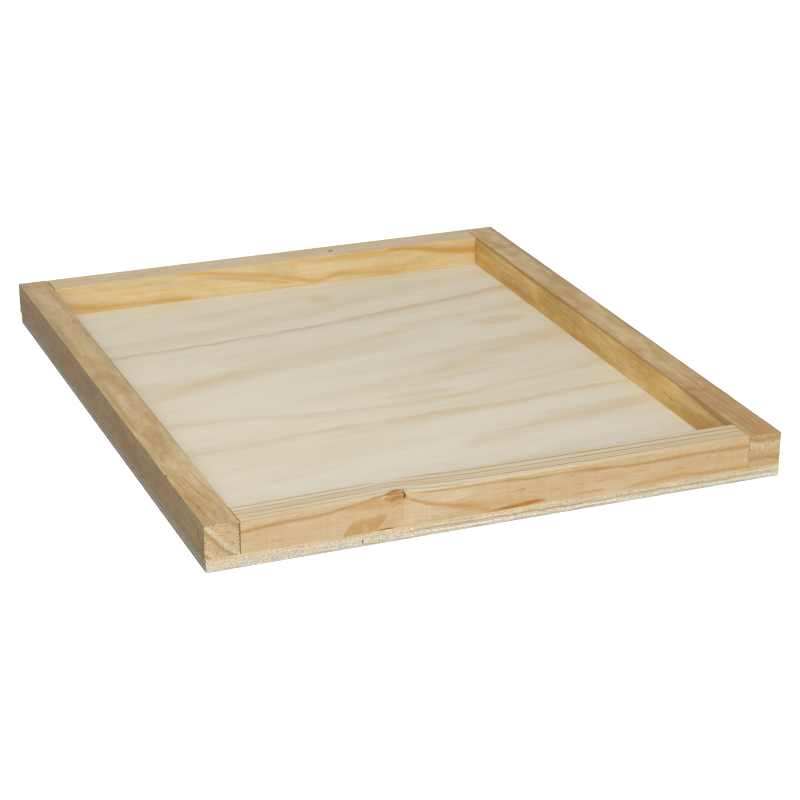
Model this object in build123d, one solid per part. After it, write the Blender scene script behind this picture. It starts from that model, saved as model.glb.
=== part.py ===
from build123d import *
import math
import os

# Hive inner cover: a rim of four squared pine rails stapled on a three-ply panel.
# Millimetres. The origin is on the underside at the middle of the plan, X runs to the right along the
# front rail, Y runs from front to back, Z is up.

# Plan
cover_width = 430.0  # outside, left to right
cover_length = 500.0  # outside, front to back

# Rails, planed to one height; the widths are those of the four sawn strips, seen from above
left_rail_width = 24.5
right_rail_width = 25.5
front_rail_width = 24.5
back_rail_width = 24.0
rail_height = 24.5
rail_arris = 0.8  # rounding of the four long edges
joint_gap = 0.3  # open butt joint at the left end of the front and back rails

# Panel, three veneers glued face to face under the rails
face_veneer = 1.8
core_veneer = 5.9
panel_inset_left = 0.8  # how far the sawn edge lies inside the rails' outer faces
panel_inset_right = 0.0
panel_inset_back = 0.8
panel_inset_front = 0.0
panel_edge_ease = 0.3  # sanded corner round the top and bottom faces

# Wire staples
staple_crown = 10.0  # outside width
staple_wire_width = 1.25  # across the plane of the staple
staple_wire_thickness = 1.0  # in the plane of the staple
staple_bend = 0.4  # inside radius at the two ends of the crown
staple_point = 1.6  # length of the chisel point
staple_sink = 0.4  # depth of the crown below the wood's face
staple_clearance = 0.05  # between the wire and the slot that it made
staple_slant = 38.0  # degrees that the crown leans across the grain
corner_staple_leg = 38.0
panel_staple_leg = 25.0
panel_staple_end_margin = 45.0  # from the end of a rail to its first panel staple
side_staple_count = 5  # panel staples under each side rail
cross_staple_count = 4  # panel staples under the front rail and under the back rail

# Derived places
panel_thickness = 2 * face_veneer + core_veneer
rail_middle_z = panel_thickness + rail_height / 2
left_rail_x = (left_rail_width - cover_width) / 2
right_rail_x = (cover_width - right_rail_width) / 2
front_rail_y = (front_rail_width - cover_length) / 2
back_rail_y = (cover_length - back_rail_width) / 2
cross_rail_left = left_rail_width - cover_width / 2 + joint_gap
cross_rail_right = cover_width / 2 - right_rail_width
cross_rail_length = cross_rail_right - cross_rail_left
cross_rail_x = (cross_rail_left + cross_rail_right) / 2
panel_width = cover_width - panel_inset_left - panel_inset_right
panel_length = cover_length - panel_inset_front - panel_inset_back
panel_middle_x = (panel_inset_left - panel_inset_right) / 2
panel_middle_y = (panel_inset_front - panel_inset_back) / 2


def rail(width, length, section_plane, x, y):
    """A squared rail with eased long edges, run both ways from its middle at x and y."""
    section = section_plane * RectangleRounded(width, rail_height, rail_arris)
    return Pos(x, y, rail_middle_z) * extrude(section, amount=length / 2, both=True)


def veneer(thickness, bottom, eased_side=None):
    """One sheet of the panel. eased_side picks its outer face: -1 for the top face, 0 for the bottom one."""
    foot = Pos(panel_middle_x, panel_middle_y, bottom) * Rectangle(panel_width, panel_length)
    sheet = extrude(foot, amount=thickness)
    if eased_side is None:
        return sheet
    outer_edges = sheet.faces().sort_by(Axis.Z)[eased_side].edges()
    return chamfer(outer_edges, panel_edge_ease)


def staple_outline(leg_length, clearance, mouth):
    """A closed U on the XZ plane: the crown along X, its outer face at Z -mouth, the legs along +Z."""
    outer = staple_crown / 2 + clearance
    inner = staple_crown / 2 - staple_wire_thickness - clearance
    crown_inside = staple_wire_thickness + clearance
    tip = leg_length + clearance
    shoulder = tip - staple_point
    right_half = [(outer, -mouth), (outer, shoulder), (inner, tip), (inner, crown_inside)]
    left_half = [(-x, z) for x, z in reversed(right_half)]
    outline = make_face(Plane.XZ * Polyline(*right_half, *left_half, close=True))
    inside_corners = outline.vertices().group_by(Axis.Z)[1]
    return fillet(inside_corners, staple_bend - clearance)


def staple_wire(leg_length):
    """The bent wire itself, with rounded shoulders and a chisel point on each leg."""
    outline = staple_outline(leg_length, clearance=0.0, mouth=0.0)
    shoulders = outline.vertices().group_by(Axis.Z)[0]
    outline = fillet(shoulders, staple_bend + staple_wire_thickness)
    return extrude(outline, amount=staple_wire_width / 2, both=True)


def staple_slot(leg_length):
    """The slot that the staple and the driver blade behind it leave in the wood."""
    outline = staple_outline(leg_length, staple_clearance, mouth=2 * staple_sink)
    return extrude(outline, amount=staple_wire_width / 2 + staple_clearance, both=True)


def evenly_spaced(count, run):
    """Positions along a rail of the given length, the first and last one margin from its ends."""
    reach = run / 2 - panel_staple_end_margin
    step = 2 * reach / (count - 1)
    return [-reach + step * index for index in range(count)]


def corner_staple_place(outward, cross_rail_y):
    """Where a corner staple stands: outside the side rail, legs pointing inwards along X."""
    lean = math.radians(staple_slant)
    return Plane(
        origin=(outward * (cover_width / 2 - staple_sink), cross_rail_y, rail_middle_z),
        x_dir=(0, -math.sin(lean), -math.cos(lean)),
        z_dir=(-outward, 0, 0),
    )


def panel_staple_place(x, y, rail_angle):
    """Where a panel staple stands: under the panel, legs pointing up into the rail above."""
    return Plane(origin=(x, y, staple_sink)).rotated((0, 0, rail_angle + staple_slant))


def cut_slots(piece, slots):
    """The piece with the slot of every staple that enters it."""
    bounds = piece.bounding_box()
    entering = [slot for slot in slots if bounds.overlaps(slot.bounding_box())]
    return piece - entering


# Every staple: its name, its place and its leg length
staples = {}
for end, y in (("front", front_rail_y), ("back", back_rail_y)):
    for side, outward in (("left", -1), ("right", 1)):
        staples[f"corner_staple_{end}_{side}"] = (corner_staple_place(outward, y), corner_staple_leg)
    for number, along in enumerate(evenly_spaced(cross_staple_count, cross_rail_length), start=1):
        place = panel_staple_place(cross_rail_x + along, y, rail_angle=0)
        staples[f"panel_staple_{end}_{number}"] = (place, panel_staple_leg)
for side, x in (("left", left_rail_x), ("right", right_rail_x)):
    for number, along in enumerate(evenly_spaced(side_staple_count, cover_length), start=1):
        place = panel_staple_place(x, along, rail_angle=90)
        staples[f"panel_staple_{side}_{number}"] = (place, panel_staple_leg)

wood = {
    "panel_bottom_veneer": veneer(face_veneer, bottom=0.0, eased_side=0),
    "panel_core_veneer": veneer(core_veneer, bottom=face_veneer),
    "panel_top_veneer": veneer(face_veneer, bottom=face_veneer + core_veneer, eased_side=-1),
    "left_rail": rail(left_rail_width, cover_length, Plane.XZ, left_rail_x, 0),
    "right_rail": rail(right_rail_width, cover_length, Plane.XZ, right_rail_x, 0),
    "front_rail": rail(front_rail_width, cross_rail_length, Plane.YZ, cross_rail_x, front_rail_y),
    "back_rail": rail(back_rail_width, cross_rail_length, Plane.YZ, cross_rail_x, back_rail_y),
}

slots = [place * staple_slot(leg_length) for place, leg_length in staples.values()]
pieces = {name: cut_slots(piece, slots) for name, piece in wood.items()}
for name, (place, leg_length) in staples.items():
    pieces[name] = place * staple_wire(leg_length)

os.makedirs("parts", exist_ok=True)
for name, piece in pieces.items():
    export_step(piece, f"parts/{name}.step")
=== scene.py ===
"""Looks of a hive inner cover: a rim of four pine rails stapled round a three-ply panel."""
import logging
import math
from collections.abc import Sequence
from dataclasses import dataclass, field
from enum import Enum

import bmesh
import bpy
from mathutils import Matrix, Vector, noise


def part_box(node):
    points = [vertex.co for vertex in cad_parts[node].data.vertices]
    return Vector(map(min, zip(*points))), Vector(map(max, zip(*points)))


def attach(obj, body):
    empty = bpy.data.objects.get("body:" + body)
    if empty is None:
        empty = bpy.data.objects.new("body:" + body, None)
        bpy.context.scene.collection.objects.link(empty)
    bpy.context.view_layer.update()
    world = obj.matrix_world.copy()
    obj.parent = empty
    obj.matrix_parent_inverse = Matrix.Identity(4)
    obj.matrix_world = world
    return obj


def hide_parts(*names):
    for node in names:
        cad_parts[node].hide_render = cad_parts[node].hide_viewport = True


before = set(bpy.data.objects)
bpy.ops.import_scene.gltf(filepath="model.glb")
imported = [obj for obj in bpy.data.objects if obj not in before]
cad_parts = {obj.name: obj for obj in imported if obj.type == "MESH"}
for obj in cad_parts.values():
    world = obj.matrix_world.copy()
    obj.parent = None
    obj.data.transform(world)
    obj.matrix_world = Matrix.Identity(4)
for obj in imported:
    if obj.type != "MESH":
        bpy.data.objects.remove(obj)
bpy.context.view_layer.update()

MM = 0.001  # a millimetre, in metres
BODY = "root"

Colour = tuple[int, int, int]
Point = tuple[float, float, float]
DASH: Colour = (132, 92, 48)  # short dark fibres
RAW_WOOD_SHEEN = 0.25  # specular level of bare wood
TURNED = (0.5, 0.85)  # a surface starts to face an axis at the first cosine and fully does at the second
UPRIGHT = 0.9  # least part along Z of the normal of a level face
SHARP = math.radians(38)  # an edge that turns further than this stays sharp
WHITE = (1.0, 1.0, 1.0, 1.0)
log = logging.getLogger("inner_cover")


class Grain(Enum):
    """The axis that the fibres of a piece run along."""

    ALONG_X = 0
    ALONG_Y = 1


class Side(Enum):
    """The face of a piece that a figure, painted light or painted shade surfaces on, as an axis and the sign
    of its outward normal.
    """

    LEFT = (0, -1)
    FRONT = (1, -1)
    BELOW = (2, -1)
    ABOVE = (2, 1)


def linear(colour: Colour) -> tuple[float, float, float, float]:
    """Turn a colour written as it looks on a screen into linear light.

    Args:
        colour: red, green and blue from 0 to 255.

    Returns:
        Red, green, blue and an alpha of 1, from 0 to 1.
    """
    parts = [part / 255 for part in colour]
    light = [part / 12.92 if part < 0.04045 else ((part + 0.055) / 1.055) ** 2.4 for part in parts]
    return (*light, 1.0)


class Field:
    """A quantity that varies through the wood, held as the output of a shader node."""

    def __init__(self, recipe: "Recipe", socket: bpy.types.NodeSocket) -> None:
        """Keep the recipe that the quantity belongs to and the socket that gives it."""
        self.recipe = recipe
        self.socket = socket

    def __add__(self, other: "Amount") -> "Field":
        """Sum of two amounts."""
        return self.recipe.maths("ADD", self, other)

    def __sub__(self, other: "Amount") -> "Field":
        """Difference of two amounts."""
        return self.recipe.maths("SUBTRACT", self, other)

    def __rsub__(self, other: "Amount") -> "Field":
        """Difference of two amounts, this one taken away."""
        return self.recipe.maths("SUBTRACT", other, self)

    def __mul__(self, other: "Amount") -> "Field":
        """Product of two amounts."""
        return self.recipe.maths("MULTIPLY", self, other)

    def __truediv__(self, other: "Amount") -> "Field":
        """Quotient of two amounts."""
        return self.recipe.maths("DIVIDE", self, other)

    __radd__ = __add__

    def size(self) -> "Field":
        """The amount without its sign."""
        return self.recipe.maths("ABSOLUTE", self)

    def whole(self) -> "Field":
        """The whole number below the amount."""
        return self.recipe.maths("FLOOR", self)

    def rest(self) -> "Field":
        """What is left of the amount above that whole number."""
        return self.recipe.maths("FRACT", self)

    def rise(self, start: "Amount", end: "Amount") -> "Field":
        """A smooth step from 0 where the amount is at start to 1 where it is at end.

        Args:
            start: amount at which the step is 0.
            end: amount at which the step is 1, above or below start.

        Returns:
            The step, from 0 to 1.
        """
        step = self.recipe.node("ShaderNodeMapRange", interpolation_type="SMOOTHSTEP")
        for name, value in (("Value", self), ("From Min", start), ("From Max", end)):
            self.recipe.feed(step.inputs[name], value)
        return Field(self.recipe, step.outputs["Result"])


Amount = Field | float


class Recipe:
    """The shader nodes of one finish, written as formulas on the place in the piece."""

    def __init__(self, name: str) -> None:
        """Start a material that holds nothing but a shader and its output.

        Args:
            name: the material's name.
        """
        self.material = bpy.data.materials.new(name)
        self.material.use_nodes = True
        self.tree = self.material.node_tree
        self.shader = self.tree.nodes["Principled BSDF"]
        self.shader.inputs["Specular IOR Level"].default_value = RAW_WOOD_SHEEN
        self.coordinates = self.node("ShaderNodeTexCoord")

    def node(self, kind: str, **settings: object) -> bpy.types.Node:
        """Add a node.

        Args:
            kind: the node's type.
            settings: its options, by name.

        Returns:
            The new node.
        """
        made = self.tree.nodes.new(kind)
        for name, value in settings.items():
            setattr(made, name, value)
        return made

    def feed(self, socket: bpy.types.NodeSocket, value: Amount | tuple[float, ...]) -> None:
        """Give a socket a varying quantity or a fixed value.

        Args:
            socket: the input to fill.
            value: the quantity or the fixed value.
        """
        if isinstance(value, Field):
            self.tree.links.new(value.socket, socket)
        else:
            socket.default_value = value

    def maths(self, operation: str, *amounts: Amount) -> Field:
        """One step of arithmetic.

        Args:
            operation: the name of the step.
            amounts: what it works on.

        Returns:
            The result.
        """
        step = self.node("ShaderNodeMath", operation=operation)
        for socket, amount in zip(step.inputs, amounts):
            self.feed(socket, amount)
        return Field(self, step.outputs[0])

    def split(self, socket: bpy.types.NodeSocket, scale: float) -> tuple[Field, Field, Field]:
        """The three parts of a vector.

        Args:
            socket: output that gives the vector.
            scale: factor on each part.

        Returns:
            The parts along X, Y and Z.
        """
        parts = self.node("ShaderNodeSeparateXYZ")
        self.tree.links.new(socket, parts.inputs[0])
        return tuple(Field(self, part) * scale for part in parts.outputs)

    def place(self) -> tuple[Field, Field, Field]:
        """Where a point lies in the cover, in millimetres along X, Y and Z."""
        return self.split(self.coordinates.outputs["Object"], 1 / MM)

    def facing(self) -> tuple[Field, Field, Field]:
        """How far a surface faces along X, Y and Z, from -1 to 1."""
        return self.split(self.coordinates.outputs["Normal"], 1.0)

    def noise(self, *place: Amount, detail: float = 2.0, roughness: float = 0.5) -> Field:
        """Smooth noise with features about one unit wide.

        Args:
            place: three coordinates, stretched as the noise should be.
            detail: number of finer layers.
            roughness: strength of each finer layer against the one before.

        Returns:
            The noise, mostly from -1 to 1.
        """
        where = self.node("ShaderNodeCombineXYZ")
        for socket, amount in zip(where.inputs, place):
            self.feed(socket, amount)
        made = self.node("ShaderNodeTexNoise")
        made.inputs["Scale"].default_value = 1.0
        made.inputs["Detail"].default_value = detail
        made.inputs["Roughness"].default_value = roughness
        self.tree.links.new(where.outputs[0], made.inputs["Vector"])
        return (Field(self, made.outputs[0]) - 0.5) * 4.0

    def curve(self, place: Field, points: Sequence[tuple[float, float]]) -> Field:
        """A smooth line through a few points.

        Args:
            place: the quantity that the line is drawn over.
            points: pairs of place and height, in order of place.

        Returns:
            The height of the line, level beyond both ends.
        """
        places, heights = zip(*points)
        start, run = places[0], places[-1] - places[0]
        level = 1e-6  # rise that a level line is given
        low, rise = min(heights), max(max(heights) - min(heights), level)
        made = self.node("ShaderNodeFloatCurve")
        line = made.mapping.curves[0].points
        while len(line) < len(points):
            line.new(0.5, 0.5)
        for knob, (across, height) in zip(line, points):
            knob.location = ((across - start) / run, (height - low) / rise)
            knob.handle_type = "AUTO_CLAMPED"
        made.mapping.update()
        self.feed(made.inputs["Value"], (place - start) / run)
        return Field(self, made.outputs[0]) * rise + low

    def mix(self, share: Amount, first: Field | Colour, second: Field | Colour) -> Field:
        """Mix two colours.

        Args:
            share: how much of the second colour, from 0 to 1.
            first: colour at a share of 0.
            second: colour at a share of 1.

        Returns:
            The mixed colour.
        """
        made = self.node("ShaderNodeMix", data_type="RGBA")
        colours, mixed = slice(6, 8), 2  # its colour sockets, among those for other kinds of value
        self.feed(made.inputs[0], share)
        for socket, colour in zip(made.inputs[colours], (first, second)):
            self.feed(socket, colour if isinstance(colour, Field) else linear(colour))
        return Field(self, made.outputs[mixed])

    def shade(self, colour: Field, light: Amount) -> Field:
        """A colour made lighter or darker.

        Args:
            colour: the colour.
            light: factor on it.

        Returns:
            The new colour.
        """
        made = self.node("ShaderNodeVectorMath", operation="SCALE")
        self.feed(made.inputs["Vector"], colour)
        self.feed(made.inputs["Scale"], light)
        return Field(self, made.outputs["Vector"])

    def finish(self, colour: Field, roughness: Amount, height: Field) -> bpy.types.Material:
        """Hand the colour, the gloss and the relief to the shader.

        Args:
            colour: colour of the surface.
            roughness: from 0, polished, to 1, dull.
            height: relief in millimetres.

        Returns:
            The finished material.
        """
        self.feed(self.shader.inputs["Base Color"], colour)
        self.feed(self.shader.inputs["Roughness"], roughness)
        relief = self.node("ShaderNodeBump")
        relief.inputs["Distance"].default_value = MM
        relief.inputs["Strength"].default_value = 1.0
        self.feed(relief.inputs["Height"], height)
        self.tree.links.new(relief.outputs[0], self.shader.inputs["Normal"])
        return self.material


@dataclass(frozen=True)
class Where:
    """A point of a face, as the marks on that face see it.

    Attributes:
        recipe: finish that the marks are part of.
        place: where the point lies along X, Y and Z, in millimetres.
        along: its place along the grain.
        across: its place across the grain, frayed by the fibres.
    """

    recipe: Recipe
    place: tuple[Field, ...]
    along: Field
    across: Field


@dataclass(frozen=True)
class Streak:
    """A band of darker wood on one face, through listed points.

    Attributes:
        points: place along the grain, place across it and the width of the band there, in millimetres.
        tint: colour of the band at its core.
        strength: share of that colour at the core.
        above: share of the width that lies above the core, where the band fades to one side.
        core: how much of the band is a thin line at its core and how little a broad veil.
        fade: length over which the band fades out past its first and last points.
        soft: share of the way from its rim to its core over which the band fades in.
    """

    points: tuple[Point, ...]
    tint: Colour
    strength: float = 0.8
    above: float = 0.5
    core: float = 0.5
    fade: float = 10.0
    soft: float = 1.0

    def mask(self, where: Where) -> Field:
        """How much of the band shows.

        Args:
            where: the point that is looked at.

        Returns:
            The share of the band's colour, from 0 to 1.
        """
        recipe, along = where.recipe, where.along
        line = recipe.curve(along, [(place, centre) for place, centre, _ in self.points])
        width = recipe.curve(along, [(place, wide) for place, _, wide in self.points])
        aside = (where.across - line) / width
        band = aside.rise(self.above, 0.0) * aside.rise(self.above - 1.0, 0.0)
        if self.soft < 1.0:
            band = band.rise((1.0 - self.soft) / 2, (1.0 + self.soft) / 2)
        peak = band * band * band
        first, last = self.points[0][0], self.points[-1][0]
        ends = along.rise(first - self.fade, first) * along.rise(last + self.fade, last)
        return (peak * self.core + band * (1.0 - self.core)) * ends * self.strength


@dataclass(frozen=True)
class Spot:
    """A small mark with a soft edge: a pin knot, a fleck of resin, a bruise or a darker patch.

    Attributes:
        centre: place of its middle, in millimetres.
        radii: half its size along X, Y and Z.
        tint: its colour.
        strength: share of that colour in its middle.
        soft: share of its size over which it fades.
    """

    centre: Point
    radii: Point
    tint: Colour
    strength: float = 0.8
    soft: float = 0.6

    def mask(self, where: Where) -> Field:
        """How much of the mark shows.

        Args:
            where: the point that is looked at.

        Returns:
            The share of the mark's colour, from 0 to 1.
        """
        parts = [(at - middle) / half for at, middle, half in zip(where.place, self.centre, self.radii)]
        squares = [part * part for part in parts]
        away = squares[0] + squares[1] + squares[2]
        return away.rise(1.0 + self.soft, 1.0 - self.soft) * self.strength


def lay(colour: Field, marks: Sequence[Streak | Spot], where: Where, vary: Amount = 1.0) -> Field:
    """Lay bands and spots over a colour, one after the other.

    Args:
        colour: colour of the wood below them.
        marks: the bands and spots.
        where: the point that is looked at.
        vary: factor on their strength from place to place.

    Returns:
        The colour with the marks.
    """
    for mark in marks:
        share = mark.mask(where)
        colour = where.recipe.mix(share * vary if isinstance(mark, Streak) else share, colour, mark.tint)
    return colour


class Fibres:
    """The light and dark that follows the fibres of one rail, from fine fibres to slow clouds."""

    def __init__(self, recipe: Recipe, along: Field, across: Field, z: Field, seed: float) -> None:
        """Lay out the noise.

        Args:
            recipe: finish that the fibres are part of.
            along: place along the rail, in millimetres.
            across: place across it.
            z: height.
            seed: how far the noise is moved along the rail.
        """
        moved = along + seed

        def layer(length: float, width: float, detail: float, roughness: float = 0.5) -> Field:
            """Noise with features of a length along the fibres and a width across them, in millimetres."""
            return recipe.noise(moved / length, across / width, z / width, detail=detail, roughness=roughness)

        self.fine = layer(28, 1.1, detail=2, roughness=0.6)
        self.strand = layer(60, 3.2, detail=4, roughness=0.6)
        self.cloud = layer(70, 14, detail=2)
        self.patch = layer(16, 9, detail=3)
        self.fleck = layer(4, 2.2, detail=2, roughness=0.6)
        self.dash = recipe.noise(moved / 11, across * 0.95, z * 0.95, detail=1)
        self.knife = layer(0.8, 40, detail=0)
        self.bend = layer(130, 30, detail=1)
        self.fray = self.strand + self.fine * 0.5


@dataclass(frozen=True)
class GrowthRings:
    """The rings of one rail, as sheets stacked along a slope.

    Attributes:
        slope: how ring depth grows for each millimetre along X, Y and Z, from the heart to the bark.
        edges: ring depths at which one year ends and the next begins.
        strengths: strength of the latewood of each year, all alike if left out.
        latewood: share of a ring that is dark latewood.
        edge: share of a ring over which the latewood ends.
        bends: place along the rail with the rings' shift, spread and strength there.
        pivot: ring depth that the spread leaves in place.
        drift: how far the rings wander, in millimetres.
        fray: how far the fibres fray the rings, in millimetres.
    """

    slope: Point
    edges: tuple[float, ...]
    strengths: tuple[float, ...] = ()
    latewood: float = 0.25
    edge: float = 0.06
    bends: tuple[tuple[float, float, float, float], ...] = ()
    pivot: float = 0.0
    drift: float = 0.6
    fray: float = 0.15

    def read(
        self, recipe: Recipe, place: tuple[Field, ...], along: Field, fibres: Fibres,
    ) -> tuple[Field, Field]:
        """Read the rings at a place.

        Args:
            recipe: finish that the rings are part of.
            place: where a point lies.
            along: its place along the rail.
            fibres: the rail's fibres.

        Returns:
            How far through its year the wood there is, and its share of latewood, both from 0 to 1.
        """
        depth = place[0] * self.slope[0] + place[1] * self.slope[1] + place[2] * self.slope[2]
        show: Amount = 1.0
        if self.bends:
            shift, spread, show = (
                recipe.curve(along, [(bend[0], bend[part]) for bend in self.bends]) for part in (1, 2, 3)
            )
            depth = (depth - shift - self.pivot) / spread + self.pivot
        depth = depth + fibres.bend * self.drift + fibres.fray * self.fray
        turn = recipe.curve(depth, [(level, float(year)) for year, level in enumerate(self.edges)])
        year = turn.rest()
        late = year.rise(1.0 - self.latewood, 1.0 - self.edge) * year.rise(1.0, 1.0 - self.edge) * show
        if self.strengths:
            years = [(float(number), strength) for number, strength in enumerate(self.strengths)]
            late = late * recipe.curve(turn.whole(), years)
        return year, late


@dataclass(frozen=True)
class Planed:
    """The planed wood on one side of a rail.

    Attributes:
        pale: main colour.
        warm: colour that it drifts to along some of the fibres.
        late: colour of the latewood.
        rings: share of the growth rings that shows.
        figure: strength of the fibres' own light and dark.
        mottle: strength of the light and dark patches and flecks.
        dashes: strength of the short dark fibres.
        blotch: how far patches, and not long strands, set the drift of its colour.
        knife: strength of the cutter's marks across the fibres.
        marks: bands and spots, in the order that they are laid.
    """

    pale: Colour
    warm: Colour
    late: Colour = (146, 108, 60)
    rings: float = 1.0
    figure: float = 1.0
    mottle: float = 0.03
    dashes: float = 0.3
    blotch: float = 0.0
    knife: float = 0.012
    marks: tuple[Streak | Spot, ...] = ()

    def colour(self, where: Where, fibres: Fibres, late: Field) -> Field:
        """Colour of the planed wood.

        Args:
            where: the point that is looked at.
            fibres: the rail's fibres.
            late: the wood's share of latewood.

        Returns:
            The colour.
        """
        recipe = where.recipe
        strands = fibres.strand * (1.0 - self.blotch) + fibres.patch * (0.6 + self.blotch)
        drift = ((fibres.cloud + strands) * 0.8).rise(-1.0, 1.0)
        colour = recipe.mix(drift, self.pale, self.warm)
        colour = recipe.mix(late * self.rings, colour, self.late)
        frayed = 0.95 + fibres.strand * 0.45 + fibres.fine * 0.25
        colour = lay(colour, self.marks, where, frayed)
        dash = fibres.dash.rise(0.55, 1.1) * fibres.cloud.rise(-0.5, 0.7)
        colour = recipe.mix(dash * self.dashes, colour, DASH)
        light = (fibres.fine * 0.08 + fibres.strand * 0.1) * self.figure
        light = light + (fibres.patch + fibres.fleck) * self.mottle
        return recipe.shade(colour, 1.0 + light + fibres.knife * self.knife)


@dataclass(frozen=True)
class Sawn:
    """The sawn ends of a rail: end grain in rings, roughened by the saw.

    Attributes:
        pale: early wood, just after the turn of a year.
        tan: wood of the middle of a year.
        late: latewood.
        early: shares of a year at which the early wood is palest and at which it is all tan.
        ripe: share of a year at which the latewood starts.
    """

    pale: Colour = (210, 192, 158)
    tan: Colour = (196, 172, 130)
    late: Colour = (166, 136, 96)
    early: tuple[float, float] = (0.12, 0.5)
    ripe: float = 0.55

    def colour(self, where: Where, year: Field) -> tuple[Field, Field]:
        """Colour and relief of an end.

        Args:
            where: the point that is looked at.
            year: how far through its year the wood is.

        Returns:
            The colour, and the height in millimetres.
        """
        recipe = where.recipe
        x, y, z = where.place
        grit = recipe.noise(x / 0.9, y / 0.9, z / 0.9, detail=2.0, roughness=0.6)
        speck = recipe.noise(x / 1.3 + 9.0, y / 1.3, z / 1.3, detail=1.0).rise(0.35, 1.0)
        saw = recipe.noise(where.across / 25, z * 0.8 + where.across * 0.2, where.along / 8, detail=2.0)
        palest, tan = self.early
        darkest = 0.94
        grown = year + grit * 0.02
        spring = grown.rise(0.0, palest) * grown.rise(tan, palest)
        autumn = grown.rise(self.ripe, darkest) * grown.rise(1.0, darkest)
        colour = recipe.mix(spring, self.tan, self.pale)
        colour = recipe.mix(autumn * (0.85 + grit * 0.35), colour, self.late)
        colour = recipe.mix(speck * 0.6, colour, DASH)
        height = grit * 0.07 + saw * 0.08 - speck * 0.12
        return recipe.shade(colour, 1.01 + grit * 0.26 + saw * 0.05), height


@dataclass(frozen=True)
class PineFinish:
    """Pine with its growth rings: two kinds of planed side, and the sawn ends.

    Attributes:
        name: name of the finish.
        grain: axis that the fibres run along.
        seed: moves the noise, so that no two rails are alike.
        rings: growth rings of this rail.
        top: wood of the top and of the other plain sides.
        face: which side shows the grain's figure, with painted shade on the left rail and painted light on
            the right one.
        side: wood of that side.
        ends: wood of the ends.
        spots: small marks that reach over an edge.
    """

    name: str
    grain: Grain
    seed: float
    rings: GrowthRings
    top: Planed
    face: Side
    side: Planed
    ends: Sawn
    spots: tuple[Spot, ...] = ()

    def material(self) -> bpy.types.Material:
        """Build the finish.

        Returns:
            The finished material.
        """
        recipe = Recipe(self.name)
        place = recipe.place()
        facing = recipe.facing()
        x, y, z = place
        along, across = (x, y) if self.grain is Grain.ALONG_X else (y, x)
        fibres = Fibres(recipe, along, across, z, self.seed)
        year, late = self.rings.read(recipe, place, along, fibres)

        fray = fibres.fray * 0.7
        above = self.top.colour(Where(recipe, place, along, across + fray), fibres, late)
        aside = self.side.colour(Where(recipe, place, along, z + fray), fibres, late)
        axis, outward = self.face.value
        # share of the side's own wood: its figure, and on the left and right rails painted shade and painted
        # light
        figure_and_painted_light = (facing[axis] * outward).rise(0.45, 0.8)
        planed = recipe.mix(figure_and_painted_light, above, aside)

        end = facing[self.grain.value].size().rise(*TURNED)
        here = Where(recipe, place, along, across)
        sawn, rough = self.ends.colour(here, year)
        colour = lay(recipe.mix(end, planed, sawn), self.spots, here)
        roughness = 0.56 + fibres.strand * 0.05 - late * 0.06 + end * 0.25
        smooth = fibres.fine * 0.012 + late * 0.02 + fibres.knife * 0.004
        return recipe.finish(colour, roughness, smooth + (rough - smooth) * end)


@dataclass(frozen=True)
class VeneerFinish:
    """A rotary-cut face veneer: pale, with a slow figure and fine pores along the grain.

    Attributes:
        name: name of the finish.
        pale: main colour.
        warm: colour that it drifts to.
        edge: colour of its sawn edge.
        edge_dark: colour of the pores and torn fibres there.
        end_grain_and_shade: colour of its left and right edges, where the saw crossed the fibres, made darker
            by painted shade.
        seed: moves the noise.
        slant: how far the figure climbs along Y for each millimetre along X.
        marks: bands and round patches of the figure, placed along X and Y.
    """

    name: str
    pale: Colour
    warm: Colour
    edge: Colour
    edge_dark: Colour
    end_grain_and_shade: Colour
    seed: float
    slant: float = 0.12
    marks: tuple[Streak | Spot, ...] = ()

    def material(self) -> bpy.types.Material:
        """Build the finish.

        Returns:
            The finished material.
        """
        recipe = Recipe(self.name)
        x, y, z = recipe.place()
        flat = recipe.facing()[2].size().rise(*TURNED)
        moved = x + self.seed
        bend = recipe.noise(moved / 140, y / 60, self.seed, detail=1.0) * 2.0
        ripple = recipe.noise(moved / 34, y / 10, self.seed, detail=3.0) * 2.0
        fray = recipe.noise(moved / 48, y / 2.2, self.seed, detail=4.0, roughness=0.6)
        flow = y + bend + ripple + fray * 2.0
        level = flow - x * self.slant
        tone = recipe.noise(moved / 210, level / 25, self.seed, detail=3.0)
        lines = recipe.noise(moved / 150, level / 7, self.seed, detail=4.0, roughness=0.65)
        colour = recipe.mix((tone + lines * 0.4).rise(-0.6, 1.8), self.pale, self.warm)
        breaks = 1.0 + fray * 0.4 + recipe.noise(moved / 40, flow / 8, self.seed, detail=2.0) * 0.5
        colour = lay(colour, self.marks, Where(recipe, (x, flow, z), x, flow), breaks)

        fibre = recipe.noise(moved / 22, y / 1.2, z, detail=3.0, roughness=0.6)
        pore = recipe.noise(moved / 5, y * 1.5, z, detail=0.0).rise(0.8, 1.3)
        colour = recipe.shade(colour, 1.0 + fibre * 0.045 + lines * 0.028 - pore * 0.08)

        grit = recipe.noise(moved / 0.8, y / 0.8, z / 0.7, detail=1.0)
        line = recipe.noise(moved / 22, y / 16, z * 1.6, detail=3.0)
        torn = (grit * 0.8 + line).rise(-1.1, 1.3)
        edge = recipe.mix(torn, self.edge, self.edge_dark)
        # the left and right edges: end grain, made darker by painted shade
        edge = recipe.mix(recipe.facing()[0].size().rise(*TURNED) * 0.8, edge, self.end_grain_and_shade)
        # the lowest 0.8 mm of the edges is darker: a painted shadow where the panel meets the floor
        edge = recipe.shade(edge, (1.02 + grit * 0.45) * (0.7 + z.rise(0.0, 0.8) * 0.3))
        colour = recipe.mix(flat, edge, colour)
        roughness = 0.62 - tone * 0.03 + (1.0 - flat) * 0.2
        relief = fibre * 0.012 - pore * 0.025
        return recipe.finish(colour, roughness, relief + (grit * 0.06 + line * 0.05 - relief) * (1.0 - flat))


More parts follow.
